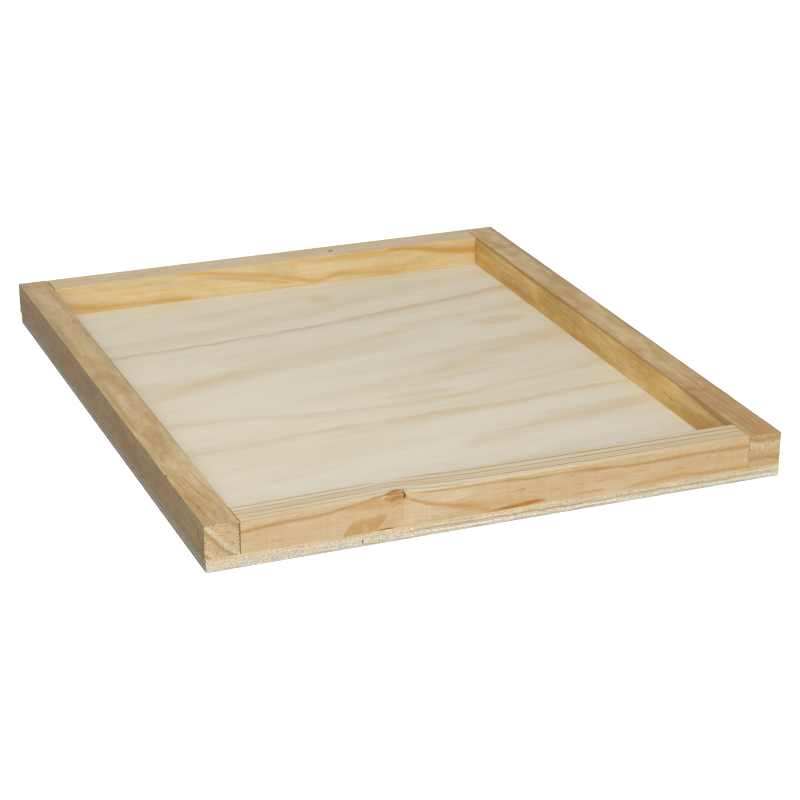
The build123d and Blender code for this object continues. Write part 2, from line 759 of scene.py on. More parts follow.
@dataclass(frozen=True)
class CoreFinish:
    """The thick core veneer, seen only as end grain at the front and the back and as streaks at the sides.

    Attributes:
        name: name of the finish.
        pale: main colour.
        warm: colour that it drifts to.
        dark: colour of its pores.
        seed: moves the noise.
        joint: place along X where its two strips meet: the left one gritty, the right one streaky.
        aside: how much light its sides keep: a painted shade that darkens them.
        rings: streaks of latewood, and painted shade in gaps, on the front edge, placed along X and Z.
        seams: dark lines along the sides, placed along Y and Z.
    """

    name: str
    pale: Colour
    warm: Colour
    dark: Colour
    seed: float
    joint: float = -104.7
    aside: float = 0.8
    rings: tuple[Streak | Spot, ...] = ()
    seams: tuple[Streak, ...] = ()

    def material(self) -> bpy.types.Material:
        """Build the finish.

        Returns:
            The finished material.
        """
        recipe = Recipe(self.name)
        place = recipe.place()
        x, y, z = place
        sawn = recipe.facing()[1].size().rise(*TURNED)
        grit = recipe.noise(x / 0.62 + self.seed, y / 14, z / 0.58, detail=0.0)
        pore = recipe.noise(x / 2.0 + 5.0, y / 14, z / 0.7 + self.seed, detail=1.0).rise(0.25, 1.0)
        sheet = recipe.noise(x / 60, y / 200, z / 1.6 + self.seed, detail=2.0)
        wander = recipe.noise(x / 14, y / 90, self.seed, detail=2.0)
        streaky = x.rise(self.joint - 0.5, self.joint + 0.5)
        lines = recipe.noise(x / 38, y / 200, z / 0.42 + self.seed, detail=2.0) * streaky
        ends = recipe.mix((sheet * 0.6 + grit * 0.6).rise(-0.9, 0.9), self.pale, self.warm)
        ends = lay(ends, self.rings, Where(recipe, place, x, z + wander * 0.6 + grit * 0.2), 0.8 + grit * 0.4)
        ends = recipe.mix(pore * (0.58 - streaky * 0.06), ends, self.dark)
        ends = recipe.shade(ends, 1.04 + grit * (0.5 + streaky * 0.1) + lines * 0.24)

        fibre = recipe.noise(x / 8, y / 40, z / 0.6, detail=3.0)
        side = recipe.mix(sheet.rise(-0.7, 0.8), self.pale, self.warm)
        side = lay(side, self.seams, Where(recipe, place, y, z + wander * 0.4), 0.9 + fibre * 0.5)
        # painted shade on the core's sides
        side = recipe.shade(side, self.aside + fibre * 0.1)
        colour = recipe.mix(sawn, side, ends)
        return recipe.finish(colour, 0.8 + grit * 0.03, grit * -0.07 - pore * 0.08 + fibre * 0.03)


@dataclass(frozen=True)
class WireFinish:
    """Galvanised staple wire, drawn bright and slightly dulled.

    Attributes:
        name: name of the finish.
        bright: colour of the zinc, darkened by painted shade.
        dull: colour where it has gone grey, darkened by painted shade.
    """

    name: str = "galvanised_wire"
    bright: Colour = (104, 100, 94)
    dull: Colour = (62, 58, 52)

    def material(self) -> bpy.types.Material:
        """Build the finish.

        Returns:
            The finished material.
        """
        recipe = Recipe(self.name)
        x, y, z = recipe.place()
        cloud = recipe.noise(x / 1.6, y / 1.6, z / 1.6, detail=3.0)
        draw = recipe.noise(x * 5, y * 5, z / 3, detail=2.0)
        # both colours are darker than bare zinc: painted shade of the slots that the crowns sit in
        colour = recipe.mix(cloud.rise(-0.6, 0.9), self.bright, self.dull)
        recipe.shader.inputs["Metallic"].default_value = 1.0
        return recipe.finish(colour, 0.5 + cloud * 0.08, draw * 0.006)


def block(low: Vector, high: Vector) -> bmesh.types.BMesh:
    """A closed box between two corners.

    Args:
        low: lowest corner.
        high: highest corner.

    Returns:
        The new mesh.
    """
    mesh = bmesh.new()
    bmesh.ops.create_cube(mesh, size=1.0)
    bmesh.ops.scale(mesh, vec=high - low, verts=mesh.verts)
    bmesh.ops.translate(mesh, vec=(low + high) / 2, verts=mesh.verts)
    return mesh


def edges_along(mesh: bmesh.types.BMesh, axis: int) -> list[bmesh.types.BMEdge]:
    """The edges of a mesh that lie along an axis.

    Args:
        mesh: the mesh.
        axis: 0, 1 or 2 for X, Y or Z.

    Returns:
        Those edges.
    """
    straight = 0.999  # least share of an edge's length that lies along the axis
    found = []
    for edge in mesh.edges:
        run = edge.verts[1].co - edge.verts[0].co
        if abs(run[axis]) > straight * run.length:
            found.append(edge)
    return found


def ease(mesh: bmesh.types.BMesh, edges: list[bmesh.types.BMEdge], radius: float, segments: int) -> None:
    """Round some edges.

    Args:
        mesh: the mesh.
        edges: what to round.
        radius: radius in metres.
        segments: facets of the rounding.
    """
    bmesh.ops.bevel(
        mesh, geom=edges, offset=radius, offset_type="OFFSET", segments=segments, profile=0.5,
        affect="EDGES", material=-1,
    )


def slice_along(mesh: bmesh.types.BMesh, axis: int, pitch: float) -> None:
    """Divide every edge that lies along an axis, and the faces between them.

    Args:
        mesh: the mesh.
        axis: 0, 1 or 2 for X, Y or Z.
        pitch: largest length of a piece of edge, in metres.
    """
    edges = edges_along(mesh, axis)
    longest = max(edge.calc_length() for edge in edges)
    cuts = math.ceil(longest / pitch) - 1
    if cuts > 0:
        bmesh.ops.subdivide_edges(mesh, edges=edges, cuts=cuts, use_grid_fill=True)


def slice_across(mesh: bmesh.types.BMesh, axis: int, low: float, high: float, pitch: float) -> None:
    """Cut a mesh by evenly spaced planes square to an axis.

    Args:
        mesh: the mesh.
        axis: 0, 1 or 2 for X, Y or Z.
        low: where the run of planes starts, in metres.
        high: where it ends.
        pitch: largest distance between planes.
    """
    touching = 1e-7  # a vertex this near to a plane lies on it
    count = math.ceil((high - low) / pitch)
    direction = Vector((axis == 0, axis == 1, axis == 2))
    for index in range(count + 1):
        level = low + (high - low) * index / count
        everything = mesh.verts[:] + mesh.edges[:] + mesh.faces[:]
        bmesh.ops.bisect_plane(
            mesh, geom=everything, dist=touching, plane_co=direction * level, plane_no=direction,
        )


def make_piece(name: str, mesh: bmesh.types.BMesh) -> bpy.types.Object:
    """Turn a finished mesh into an object of the scene.

    Args:
        name: the piece's name.
        mesh: its mesh, freed here.

    Returns:
        The new object.
    """
    bmesh.ops.recalc_face_normals(mesh, faces=mesh.faces)
    data = bpy.data.meshes.new(name)
    mesh.to_mesh(data)
    mesh.free()
    piece = bpy.data.objects.new(name, data)
    bpy.context.scene.collection.objects.link(piece)
    return piece


def carve(piece: bpy.types.Object, shapes: Sequence[bmesh.types.BMesh]) -> None:
    """Cut closed shapes out of a piece.

    Args:
        piece: the piece to cut.
        shapes: what is cut out, freed here.
    """
    if not shapes:
        return
    cutter = bmesh.new()
    for shape in shapes:
        part = bpy.data.meshes.new("cut")
        shape.to_mesh(part)
        shape.free()
        cutter.from_mesh(part)
        bpy.data.meshes.remove(part)
    tool = make_piece("cutter", cutter)
    cut = piece.modifiers.new("cut", "BOOLEAN")
    cut.operation = "DIFFERENCE"
    cut.solver = "EXACT"
    cut.object = tool
    shaped = piece.evaluated_get(bpy.context.evaluated_depsgraph_get())
    plain = piece.data
    piece.data = bpy.data.meshes.new_from_object(shaped)
    piece.modifiers.clear()
    piece.data.name = piece.name
    bpy.data.meshes.remove(plain)
    tool_mesh = tool.data
    bpy.data.objects.remove(tool)
    bpy.data.meshes.remove(tool_mesh)


def hand_over(piece: bpy.types.Object, node: str, material: bpy.types.Material) -> None:
    """Dress a piece and let it stand for a part of the frame.

    Args:
        piece: the piece.
        node: the part that it stands for.
        material: its finish.
    """
    piece.data.shade_smooth()
    piece.data.set_sharp_from_angle(angle=SHARP)
    piece.data.materials.append(material)
    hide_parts(node)
    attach(piece, BODY)
    log.info("%s: %d faces, dressed in %s", piece.name, len(piece.data.polygons), material.name)


@dataclass(frozen=True)
class Flaw:
    """A small hollow in the wood: a crack, a nick in an arris or a gap in a veneer.

    Attributes:
        centre: place of its middle, in millimetres.
        radii: half its size along X, Y and Z.
    """

    centre: Point
    radii: Point

    def shape(self) -> bmesh.types.BMesh:
        """Model the hollow.

        Returns:
            A closed mesh.
        """
        mesh = bmesh.new()
        bmesh.ops.create_icosphere(mesh, subdivisions=2, radius=1.0)
        bmesh.ops.scale(mesh, vec=Vector(self.radii) * MM, verts=mesh.verts)
        bmesh.ops.translate(mesh, vec=Vector(self.centre) * MM, verts=mesh.verts)
        return mesh


@dataclass
class Staples:
    """The wire staples, and the slots that they leave in the wood.

    Attributes:
        crown: outside width of a staple, in millimetres.
        wire_width: width of the wire across the plane of the staple.
        wire_thickness: thickness of the wire in that plane.
        clearance: gap between the wire and its slot.
        mouth: how far a slot is cut past the outside of the crown.
        slant: degrees that the crown leans across the grain.
        finish: the wire's finish.
        names: the staples' nodes in the frame.
    """

    crown: float = 10.0
    wire_width: float = 1.25
    wire_thickness: float = 1.0
    clearance: float = 0.06
    mouth: float = 1.0
    slant: float = 38.0
    finish: WireFinish = field(default_factory=WireFinish)
    names: list[str] = field(default_factory=list)

    def __post_init__(self) -> None:
        """Find the staples in the frame."""
        self.names = sorted(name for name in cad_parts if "_staple_" in name)

    def place(self, name: str) -> tuple[Matrix, float]:
        """Where a staple stands.

        Args:
            name: the staple's node.

        Returns:
            The place of its crown's middle, with the crown along X and the legs along Z, and its leg length.
        """
        low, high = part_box(name)
        middle = (low + high) / 2
        lean = math.radians(self.slant)
        if name.startswith("corner"):
            outward = 1 if middle.x > 0 else -1
            origin = Vector((high.x if outward > 0 else low.x, middle.y, middle.z))
            crown = Vector((0, -math.sin(lean), -math.cos(lean)))
            legs = Vector((-outward, 0, 0))
            reach = high.x - low.x
        else:
            turn = lean + (math.pi / 2 if "left" in name or "right" in name else 0.0)
            origin = Vector((middle.x, middle.y, low.z))
            crown = Vector((math.cos(turn), math.sin(turn), 0))
            legs = Vector((0, 0, 1))
            reach = high.z - low.z
        aside = legs.cross(crown)
        turned = Matrix((crown, aside, legs)).transposed().to_4x4()
        return Matrix.Translation(origin) @ turned, reach

    def slot_shape(self, reach: float) -> bmesh.types.BMesh:
        """The slot of one staple, open above its crown.

        Args:
            reach: leg length in metres.

        Returns:
            A closed U with its crown along X.
        """
        outer = (self.crown / 2 + self.clearance) * MM
        inner = (self.crown / 2 - self.wire_thickness - self.clearance) * MM
        half = (self.wire_width / 2 + self.clearance) * MM
        floor = (self.wire_thickness + self.clearance) * MM
        mesh = block(Vector((-outer, -half, -self.mouth * MM)), Vector((outer, half, floor)))
        slice_across(mesh, 0, -inner, inner, 2 * inner)
        inside = [face for face in mesh.faces if face.normal.z > UPRIGHT]
        feet = [face for face in inside if abs(face.calc_center_median().x) > inner]
        legs = bmesh.ops.extrude_discrete_faces(mesh, faces=feet)["faces"]
        tips = {vert for face in legs for vert in face.verts}
        bmesh.ops.translate(mesh, vec=(0, 0, reach - floor + self.clearance * MM), verts=list(tips))
        return mesh

    def slots_in(self, node: str) -> list[bmesh.types.BMesh]:
        """The slots of all staples that enter a part of the frame.

        Args:
            node: the part.

        Returns:
            One closed mesh for each slot.
        """
        low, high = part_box(node)
        shapes = []
        for name in self.names:
            staple_low, staple_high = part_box(name)
            if all(staple_low[axis] < high[axis] and staple_high[axis] > low[axis] for axis in range(3)):
                place, reach = self.place(name)
                shape = self.slot_shape(reach)
                bmesh.ops.transform(shape, matrix=place, verts=shape.verts)
                shapes.append(shape)
        return shapes

    def dress(self) -> None:
        """Give every staple its wire finish."""
        material = self.finish.material()
        for name in self.names:
            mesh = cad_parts[name].data
            mesh.materials.clear()
            mesh.materials.append(material)
        log.info("%d staples, dressed in %s", len(self.names), material.name)


@dataclass
class Board:
    """One piece of wood, remade inside the box of its part of the frame.

    Attributes:
        node: its node in the frame.
        finish: its wood.
        slot: the record's material slot; not used.
        flaws: cracks, nicks and gaps.
    """

    node: str
    finish: PineFinish | VeneerFinish | CoreFinish
    slot: str
    flaws: tuple[Flaw, ...] = ()

    def shape(self, low: Vector, high: Vector) -> bmesh.types.BMesh:
        """The wood without slots and flaws: a plain box, which each kind of board works further."""
        return block(low, high)

    def build(self, staples: Staples) -> bpy.types.Object:
        """Model and dress the board.

        Args:
            staples: the staples whose slots it has.

        Returns:
            The finished piece.
        """
        low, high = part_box(self.node)
        piece = make_piece(self.node + "_wood", self.shape(low, high))
        carve(piece, staples.slots_in(self.node) + [flaw.shape() for flaw in self.flaws])
        hand_over(piece, self.node, self.finish.material())
        return piece


@dataclass
class Rail(Board):
    """One squared rail of the rim, worn a little inside its own box.

    Attributes:
        arris: radius of the two upper long edges, in millimetres.
        foot: radius of the two lower ones, which lie on the panel.
        pitch_along: length of a facet along the grain.
        pitch_across: width of a facet across it.
        wear: how far a worn arris falls back.
        roughness: depth of the saw's marks on the ends.
        chipping: depth of the chips that the saw tore from the rim of an end.
        planing: mean depth of the planer's waves.
        closing: how much of the open joint its left end takes up behind the front face.
    """

    finish: PineFinish
    arris: float = 0.5
    foot: float = 0.15
    pitch_along: float = 1.6
    pitch_across: float = 1.3
    wear: float = 0.35
    roughness: float = 0.18
    chipping: float = 0.5
    planing: float = 0.04
    closing: float = 0.0

    def shape(self, low: Vector, high: Vector) -> bmesh.types.BMesh:
        """The rail with its eased arrises, planed and worn.

        Args:
            low: lowest corner of its box.
            high: highest corner.

        Returns:
            A closed mesh.
        """
        axis = self.finish.grain.value
        mesh = super().shape(low, high)
        upper = [edge for edge in edges_along(mesh, axis) if edge.verts[0].co.z > low.z + self.arris * MM]
        ease(mesh, upper, self.arris * MM, segments=3)
        lower = [edge for edge in edges_along(mesh, axis) if edge.verts[0].co.z < low.z + self.foot * MM]
        ease(mesh, lower, self.foot * MM, segments=1)
        inset = self.arris * MM
        for cross in {0, 1, 2} - {axis}:
            slice_across(mesh, cross, low[cross] + inset, high[cross] - inset, self.pitch_across * MM)
        slice_along(mesh, axis, self.pitch_along * MM)
        self.weather(mesh, low, high)
        if self.closing:
            self.close_joint(mesh, low)
        return mesh

    def weather(self, mesh: bmesh.types.BMesh, low: Vector, high: Vector) -> None:
        """Plane, wear and saw the rail's surfaces, always inwards.

        Args:
            mesh: the rail's mesh.
            low: lowest corner of its box.
            high: highest corner.
        """
        axis = self.finish.grain.value
        cross = [other for other in range(3) if other != axis]
        drawn_out = 8  # the marks are this much longer along the grain than across it
        at_end = 0.01
        mesh.normal_update()
        moves = []
        for vert in mesh.verts:
            place = vert.co / MM
            gaps = [min(vert.co[other] - low[other], high[other] - vert.co[other]) / MM for other in range(3)]
            stretched = Vector(place)
            stretched[axis] = place[axis] / drawn_out + self.finish.seed
            depth = self.planing * (1 + noise.noise(stretched / 6))
            upper = vert.co.z > low.z + self.arris * MM
            if upper and all(gaps[other] < self.arris * 0.99 for other in cross):
                depth += self.wear * max(0.0, noise.noise(stretched / 2.2) + 0.1)
            if gaps[axis] < at_end:
                depth += self.roughness * (0.5 + 0.5 * noise.noise(place * 0.9))
                if min(gaps[other] for other in cross) < self.arris:
                    depth += self.chipping * max(0.0, noise.noise(place * 0.7) + 0.05)
            moves.append((vert, vert.normal * depth * MM))
        for vert, move in moves:
            vert.co -= move

    def close_joint(self, mesh: bmesh.types.BMesh, low: Vector) -> None:
        """Bring the left end up to its neighbour, so that the joint gapes only at the front face.

        Args:
            mesh: the rail's mesh.
            low: lowest corner of its box.
        """
        gape_from, gape_to = 0.6, 3.6  # depths behind the front face between which the gap closes
        face_of_end = low.x + 0.7 * self.pitch_along * MM
        closed = low.x - self.closing * MM
        for vert in mesh.verts:
            if vert.co.x < face_of_end:
                depth = (vert.co.y - low.y) / MM
                behind = min(1.0, max(0.0, (depth - gape_from) / (gape_to - gape_from)))
                vert.co.x += (closed - vert.co.x) * behind


@dataclass
class Veneer(Board):
    """One sheet of the panel, with a sawn edge all round.

    Attributes:
        grain: axis of its fibres.
        shown: the face that shows, or None where both are glued.
        ease: sanded corner round the face that shows, in millimetres.
        pitch: size of a facet of the sheet.
        edge_pitch: height of a facet of its edge.
        ragged: how far the saw has torn the edge.
    """

    grain: Grain = Grain.ALONG_X
    shown: Side | None = None
    ease: float = 0.3
    pitch: float = 2.0
    edge_pitch: float = 0.9
    ragged: float = 0.22

    def shape(self, low: Vector, high: Vector) -> bmesh.types.BMesh:
        """The sheet with its torn edges, cut fine only where it shows.

        Args:
            low: lowest corner of its box.
            high: highest corner.

        Returns:
            A closed mesh.
        """
        mesh = super().shape(low, high)
        outward = self.shown.value[1] if self.shown else 0
        if self.shown:
            face = max(mesh.faces, key=lambda one: one.normal.z * outward)
            ease(mesh, list(face.edges), self.ease * MM, segments=1)
        for axis, pitch in enumerate((self.pitch, self.pitch, self.edge_pitch)):
            slice_along(mesh, axis, pitch * MM)
        mesh.normal_update()
        for glued in {-1, 1} - {outward}:
            hidden = [one for one in mesh.faces if one.normal.z * glued > UPRIGHT]
            bmesh.ops.dissolve_faces(mesh, faces=hidden)
        self.tear_edges(mesh, low, high)
        return mesh

    def tear_edges(self, mesh: bmesh.types.BMesh, low: Vector, high: Vector) -> None:
        """Roughen the sawn edges, always inwards: short marks across the fibres, long ones along them.

        Args:
            mesh: the sheet's mesh.
            low: lowest corner of its box.
            high: highest corner.
        """
        rim = self.ease + 0.1
        short, long = 1.5, 9.0  # lengths of the marks
        for vert in mesh.verts:
            place = vert.co / MM
            for axis in (0, 1):
                to_low = (vert.co[axis] - low[axis]) / MM
                to_high = (high[axis] - vert.co[axis]) / MM
                if min(to_low, to_high) > rim:
                    continue
                run = short if axis == self.grain.value else long
                mark = noise.noise(Vector((place.x / run, place.y / run, place.z * 1.1 + self.finish.seed)))
                depth = self.ragged * (0.5 + 0.7 * mark)
                vert.co[axis] += max(0.0, depth) * MM * (1 if to_low < to_high else -1)


@dataclass(frozen=True)
class Lamp:
    """A large soft lamp that shines on the cover.

    Attributes:
        name: what it is called.
        power: its power in watts.
        place: where it hangs, in metres.
        size: its width and height, in metres.
        sheen: whether the wood's sheen shows it.
    """

    name: str
    power: float
    place: Point
    size: tuple[float, float]
    sheen: bool = True

    def hang(self) -> None:
        """Hang the lamp and turn it to the cover."""
        lamp = bpy.data.lights.new(self.name, "AREA")
        lamp.shape = "RECTANGLE"
        lamp.size, lamp.size_y = self.size
        lamp.energy = self.power
        hung = bpy.data.objects.new(self.name, lamp)
        hung.location = self.place
        hung.visible_glossy = self.sheen
        hung.rotation_euler = Vector(self.place).to_track_quat("Z", "Y").to_euler()
        bpy.context.scene.collection.objects.link(hung)


@dataclass
class Studio:
    """The floor, the light and the camera.

    Attributes:
        lens: focal length, in millimetres.
        film_width: width of the film, in millimetres.
        eye: place of the camera, in metres.
        azimuth: how far the camera stands round from the front, in degrees.
        elevation: how far it looks down.
        roll: how far it leans.
        ambient: light from all round.
        lamps: the lamps.
        floor_bounce: colour that the floor throws back on the cover.
        floor_glow: light that the floor shows of itself.
        floor_shadow: colour that it adds where nothing shades it.
        floor_reach: how far it reaches each way, in metres.
        floor_drop: how far it lies below the cover, in millimetres.
    """

    lens: float = 103.96
    film_width: float = 36.0
    eye: Point = (-0.61367, -1.54077, 0.67898)
    azimuth: float = -22.511
    elevation: float = 22.436
    roll: float = 0.539
    ambient: float = 0.3
    lamps: tuple[Lamp, ...] = (
        Lamp(name="key", power=44.0, place=(-0.35, -2.15, 0.95), size=(1.8, 1.2)),
        Lamp(name="top", power=14.3, place=(-0.75, -0.1, 1.6), size=(1.2, 1.6)),
        Lamp(name="fill", power=28.0, place=(1.6, 2.0, 0.2), size=(2.4, 0.36), sheen=False),
    )
    floor_bounce: Colour = (90, 90, 89)
    floor_glow: float = 0.8
    floor_shadow: Colour = (188, 188, 188)
    floor_reach: float = 12.0
    floor_drop: float = 0.2

    def set_up(self) -> None:
        """Make the whole studio."""
        bpy.context.scene.view_settings.view_transform = "Standard"
        self.lay_floor()
        self.light_world()
        for lamp in self.lamps:
            lamp.hang()
        self.aim_camera()

    def seen_directly(self, tree: bpy.types.NodeTree) -> bpy.types.NodeSocket:
        """A switch that is 1 for what the camera sees, straight or by reflection.

        Args:
            tree: nodes of the floor or of the world.

        Returns:
            The switch's socket.
        """
        path = tree.nodes.new("ShaderNodeLightPath")
        switch = path.outputs["Is Camera Ray"]
        for name in ("Is Glossy Ray", "Is Transmission Ray"):
            either = tree.nodes.new("ShaderNodeMath")
            either.operation = "MAXIMUM"
            tree.links.new(switch, either.inputs[0])
            tree.links.new(path.outputs[name], either.inputs[1])
            switch = either.outputs[0]
        return switch

    def choose(
        self, tree: bpy.types.NodeTree, switch: bpy.types.NodeSocket,
        off: bpy.types.NodeSocket, on: bpy.types.NodeSocket,
    ) -> bpy.types.NodeSocket:
        """Choose between two shaders.

        Args:
            tree: nodes of the floor or of the world.
            switch: what chooses.
            off: shader where the switch is 0.
            on: shader where it is 1.

        Returns:
            The chosen shader's socket.
        """
        choice = tree.nodes.new("ShaderNodeMixShader")
        for socket, source in zip(choice.inputs, (switch, off, on)):
            tree.links.new(source, socket)
        return choice.outputs[0]

    def lay_floor(self) -> None:
        """Lay the floor, open under the cover so that its underside shows from below."""
        mesh = bmesh.new()
        bmesh.ops.create_grid(mesh, x_segments=1, y_segments=1, size=self.floor_reach)
        low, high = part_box("panel_bottom_veneer")
        for axis in (0, 1):
            slice_across(mesh, axis, low[axis] + MM, high[axis] - MM, high[axis] - low[axis])
        covered = min(mesh.faces, key=lambda face: face.calc_center_median().length)
        bmesh.ops.delete(mesh, geom=[covered], context="FACES")
        bmesh.ops.translate(mesh, vec=(0, 0, -self.floor_drop * MM), verts=mesh.verts)
        floor = make_piece("floor", mesh)
        if floor.data.polygons[0].normal.z < 0:
            floor.data.flip_normals()
        floor.data.materials.append(self.floor_finish())

    def floor_finish(self) -> bpy.types.Material:
        """A pale finish that keeps the cover's shadow, throws little light back and is clear from below.

        Returns:
            The finished material.
        """
        material = bpy.data.materials.new("pale_floor")
        material.use_nodes = True
        tree = material.node_tree
        tree.nodes.clear()
        glow = tree.nodes.new("ShaderNodeEmission")
        glow.inputs["Strength"].default_value = self.floor_glow
        shaded, dull = (tree.nodes.new("ShaderNodeBsdfDiffuse") for _ in range(2))
        shaded.inputs["Color"].default_value = linear(self.floor_shadow)
        dull.inputs["Color"].default_value = linear(self.floor_bounce)
        shown = tree.nodes.new("ShaderNodeAddShader")
        for socket, shader in zip(shown.inputs, (glow, shaded)):
            tree.links.new(shader.outputs[0], socket)
        above = self.choose(tree, self.seen_directly(tree), dull.outputs[0], shown.outputs[0])
        below = tree.nodes.new("ShaderNodeNewGeometry").outputs["Backfacing"]
        clear = tree.nodes.new("ShaderNodeBsdfTransparent").outputs[0]
        output = tree.nodes.new("ShaderNodeOutputMaterial")
        tree.links.new(self.choose(tree, below, above, clear), output.inputs["Surface"])
        return material

    def light_world(self) -> None:
        """Light the cover from all round, in front of a white background."""
        world = bpy.data.worlds.new("studio")
        bpy.context.scene.world = world
        world.use_nodes = True
        tree = world.node_tree
        tree.nodes.clear()
        surrounds = []
        for strength in (self.ambient, 1.0):
            surround = tree.nodes.new("ShaderNodeBackground")
            surround.inputs["Color"].default_value = WHITE
            surround.inputs["Strength"].default_value = strength
            surrounds.append(surround.outputs[0])
        output = tree.nodes.new("ShaderNodeOutputWorld")
        tree.links.new(self.choose(tree, self.seen_directly(tree), *surrounds), output.inputs["Surface"])

    def aim_camera(self) -> None:
        """Stand the camera where the cover is looked at from."""
        turn, tilt, lean = (math.radians(angle) for angle in (self.azimuth, self.elevation, self.roll))
        back = Vector((math.sin(turn) * math.cos(tilt), -math.cos(turn) * math.cos(tilt), math.sin(tilt)))
        level = Vector((math.cos(turn), math.sin(turn), 0))
        upright = back.cross(level)
        right = level * math.cos(lean) + upright * math.sin(lean)
        up = upright * math.cos(lean) - level * math.sin(lean)
        film = bpy.data.cameras.new("camera")
        film.lens = self.lens
        film.sensor_width = self.film_width
        camera = bpy.data.objects.new("camera", film)
        camera.matrix_world = Matrix.Translation(self.eye) @ Matrix((right, up, back)).transposed().to_4x4()
        bpy.context.scene.collection.objects.link(camera)
        bpy.context.scene.camera = camera


def left_pine() -> PineFinish:
    """The left rail's wood: mottled and golden, with wide rings lying across the corner of its section.

    Returns:
        Its finish.
    """
    # colour of the painted shade in the pits
    pit_shade = (74, 50, 28)
    edge_right, edge_left, edge_top, end = -190.9, -214.4, 33.6, -250
    pits = [(edge_right, height) for height in (31.6, 29.8, 27.5, 24.5, 20.5, 17.3, 13)]
    pits += [(edge_left, height) for height in (22, 17)]
    pits += [(aside, edge_top) for aside in (-214, -211.5, -208.5)]
    slit = [(along * 0.62, along * 0.79) for along in (-3, -1, 1, 3)]
    chips = ((117, 3), (70, 2.4), (17, 4), (-93, 3), (-118, 3.4))
    top_marks = (
        # golden and pale strips at the front end, then thin dark lines
        Streak(
            ((-250, -209, 15), (-205, -209.5, 14), (-164, -210, 11)),
            (174, 136, 76), 0.4, core=0.2, fade=25,
        ),
        Streak(
            ((-250, -196, 16), (-205, -195, 15), (-175, -195, 12)),
            (206, 190, 158), 0.2, core=0, fade=30,
        ),
        Streak(
            ((-222, -208.5, 11), (-195, -206.5, 14), (-165, -208.5, 10)),
            (180, 139, 76), 0.5, core=0.1, fade=14,
        ),
        Streak(
            ((-233, -196.6, 3.4), (-220, -197.8, 4.4), (-205, -198.4, 3.4)),
            (168, 130, 84), 0.4, core=0.1, fade=8,
        ),
        Streak(
            ((-245, -207.4, 1.8), (-232, -209.2, 2.2), (-219, -209.8, 2.4), (-204, -210.8, 2.2)),
            (140, 102, 48), 0.6, core=0.2, fade=8,
        ),
        Streak(
            ((-208, -200.2, 2), (-196, -202.4, 2.2), (-183, -203.6, 2.4), (-172, -204.4, 2)),
            (140, 102, 50), 0.55, core=0.2, fade=8,
        ),
        *(
            Streak(
                ((start, aside, 1.4), (start + 18, aside - 1.6, 2), (start + 40, aside - 2.6, 1.4)),
                (142, 102, 52), 0.5, core=0.2, fade=8,
            )
            for start, aside in ((-250, -202), (-238, -194.5), (-200, -194), (-190, -209.5))
        ),
        # strips along the outer and the inner arris, greyer towards the back
        Streak(((-75, -211.5, 9), (-35, -211.5, 9), (0, -211.5, 8)), (164, 128, 80), 0.6, core=0, fade=14),
        Streak(((110, -212, 10), (180, -212, 11), (250, -211.5, 13)), (152, 128, 96), 0.6, core=0, fade=30),
        Streak(
            ((-40, -211, 5), (10, -209, 6), (60, -206, 6), (110, -203, 5)),
            (160, 124, 74), 0.3, core=0.2, fade=25,
        ),
        Streak(((45, -194, 9), (115, -194, 9)), (158, 128, 88), 0.4, core=0, fade=20),
        Spot((-203, 244, 34), (16, 12, 4), (160, 130, 86), 0.45, soft=0.9),
        Streak(
            ((120, -193.5, 3), (170, -194.5, 3.6), (230, -195, 3)),
            (158, 120, 66), 0.5, core=0.2, fade=25,
        ),
    )
    side_marks = (
        # painted shade that darkens and browns the outer face towards the back
        Streak(((-60, 22, 70), (80, 22, 70), (250, 22, 70)), (134, 96, 36), 0.5, core=0, fade=90),
    )
    # painted shade in the nick, in the pits round the front end, in the chips of the inner arris and along
    # it, and in the mouths of the corner staples
    spots = (
        Spot((-214.2, -165, 33.6), (0.9, 1.8, 0.9), (84, 56, 32), 0.8),
        *(Spot((aside, end, height), (0.5, 1.2, 0.55), pit_shade, 0.65) for aside, height in pits),
        *(Spot((-190.6, along, 33.9), (0.9, length, 0.8), (104, 74, 42), 0.5) for along, length in chips),
        Spot((-190.5, 50, 34), (1.5, 170, 1.2), (116, 92, 58), 0.4),
        *(
            Spot((-215, middle + along, 21.75 + height), (2.5, 1.3, 1.4), (66, 50, 32), 0.5)
            for middle in (-237.75, 238)
            for along, height in slit
        ),
    )
    return PineFinish(
        name="pine_left", grain=Grain.ALONG_Y, seed=310,
        rings=GrowthRings(
            slope=(0.707, 0, 0.707), edges=(-165, -153, -141.8, -130.2, -112, -98), drift=1.2, fray=0.5,
        ),
        top=Planed(
            pale=(194, 172, 132), warm=(169, 140, 93), rings=0, figure=1.3, mottle=0.09, dashes=1,
            blotch=0.5, marks=top_marks,
        ),
        face=Side.LEFT,
        # the outer face's dark colours are partly painted shade
        side=Planed(
            pale=(167, 141, 92), warm=(143, 114, 64), late=(118, 92, 54), rings=0.15, figure=3.9,
            mottle=0.24, dashes=0.8, marks=side_marks,
        ),
        ends=Sawn(
            pale=(219, 202, 168), tan=(206, 182, 138), late=(182, 149, 100), early=(0.1, 0.3), ripe=0.66,
        ),
        spots=spots,
    )


